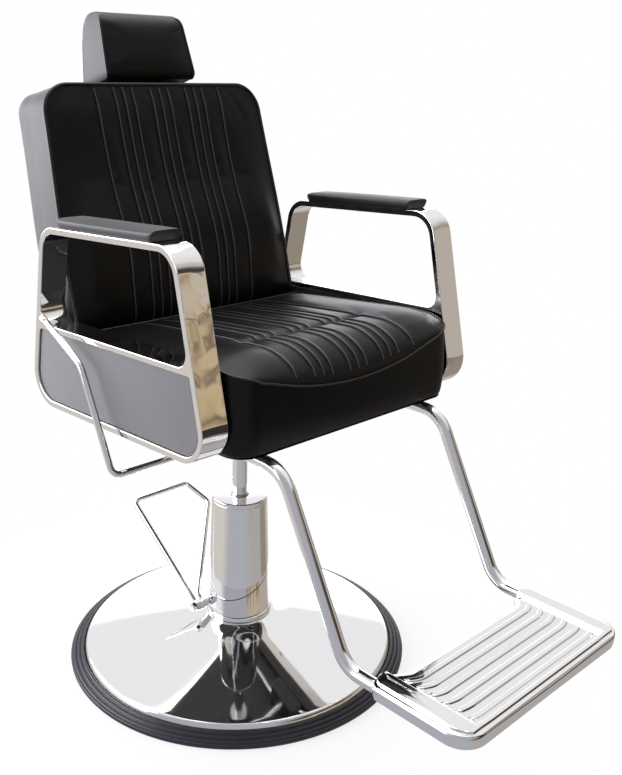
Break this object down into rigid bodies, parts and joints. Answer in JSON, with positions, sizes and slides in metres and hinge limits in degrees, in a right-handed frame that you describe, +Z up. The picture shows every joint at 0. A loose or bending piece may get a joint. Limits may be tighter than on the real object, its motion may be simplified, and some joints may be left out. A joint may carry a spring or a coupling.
{
  "type": "barber chair",
  "caption": "Reclining barber chair with a round hydraulic base, foot pump pedal, chrome loop arms, channel-stitched black seat and back, headrest and ribbed footrest.",
  "frame": {"origin": "centre of the round base on the floor", "axes": "+Z up; -Y is the way the sitter faces; +X is the sitter's left"},
  "size_m": [0.6621, 1.0527, 1.1841],
  "materials": {
    "chrome": "polished chrome plate",
    "dark_steel": "black paint, satin",
    "zinc_steel": "bright zinc plate",
    "rubber": "ridged black rubber",
    "black_leather": "smooth black artificial leather over foam",
    "plywood": "raw plywood",
    "bronze": "plain bearing bronze"
  },
  "bodies": {
    "base": {"base_plate": "dark_steel", "rim_ring": "rubber", "base_cover": "chrome", "column_flange": "chrome", "pump_cylinder": "dark_steel", "column_collar": "chrome", "column_sleeve": "chrome", "column_cap": "chrome", "gland_bush": "bronze", "pedal_shaft": "zinc_steel", "pedal_nut": "chrome"},
    "pedal": {"pedal_hub": "chrome", "pedal_loop": "chrome"},
    "piston": {"piston_rod": "chrome", "thrust_collar": "zinc_steel"},
    "seat": {"swivel_hub": "dark_steel", "seat_plate": "dark_steel", "arm_rail_left": "dark_steel", "arm_rail_right": "dark_steel", "seat_cushion": "black_leather", "arm_frame_left": "chrome", "arm_frame_right": "chrome", "side_panel_left": "black_leather", "side_panel_right": "black_leather", "panel_screw_left_1": "zinc_steel", "panel_screw_left_2": "zinc_steel", "panel_screw_right_1": "zinc_steel", "panel_screw_right_2": "zinc_steel", "arm_pad_left": "black_leather", "arm_pad_right": "black_leather", "foot_tube_left": "chrome", "foot_tube_right": "chrome", "foot_clamp_left_rear": "zinc_steel", "foot_clamp_left_front": "zinc_steel", "foot_clamp_right_rear": "zinc_steel", "foot_clamp_right_front": "zinc_steel", "foot_plate": "chrome", "hinge_lug_left": "dark_steel", "hinge_lug_right": "dark_steel", "hinge_pin_left": "zinc_steel", "hinge_pin_right": "zinc_steel", "lock_box": "dark_steel", "lever_bracket": "zinc_steel"},
    "lever": {"recline_lever": "chrome", "lever_cap": "chrome"},
    "lock_rod": {"lock_rod": "zinc_steel"},
    "back": {"hinge_arm_left": "dark_steel", "hinge_arm_right": "dark_steel", "crank_pin": "zinc_steel", "back_shell": "black_leather", "back_board": "plywood", "bar_guide_left": "zinc_steel", "bar_guide_right": "zinc_steel", "back_cushion": "black_leather"},
    "headrest": {"headrest_bar_left": "zinc_steel", "headrest_bar_right": "zinc_steel", "headrest_neck": "black_leather", "headrest_pad": "black_leather"}
  },
  "joints": [
    {"name": "pedal_press", "type": "hinge", "parent": "base", "child": "pedal", "pos_m": [-0.0705, 0.034, 0.097], "axis": [-1, 0, 0], "range_deg": [0, 23], "stiffness_Nm_per_rad": 4, "springref_deg": -14.32},
    {"name": "seat_lift", "type": "slide", "parent": "base", "child": "piston", "axis": [0, 0, 1], "range_m": [-0.13, 0.02]},
    {"name": "seat_swivel", "type": "hinge", "parent": "piston", "child": "seat", "pos_m": [0, 0, 0.5], "axis": [0, 0, 1], "continuous": true},
    {"name": "back_recline", "type": "hinge", "parent": "seat", "child": "back", "pos_m": [0, 0.181, 0.58], "axis": [-1, 0, 0], "range_deg": [0, 40]},
    {"name": "lock_rod_slide", "type": "slide", "parent": "seat", "child": "lock_rod", "axis": [0, -1, 0], "range_m": [0, 0.0345]},
    {"name": "recline_lever_pull", "type": "hinge", "parent": "seat", "child": "lever", "pos_m": [-0.09, -0.07, 0.481], "axis": [1, 0, 0], "range_deg": [0, 15], "stiffness_Nm_per_rad": 2, "springref_deg": -8.59},
    {"name": "headrest_slide", "type": "slide", "parent": "back", "child": "headrest", "axis": [0, 0.2588, 0.9659], "range_m": [0, 0.09]}
  ],
  "couplings": [
    {"joint": "lock_rod_slide", "follows": "back_recline", "m_per_rad": 0.04899}
  ]
}
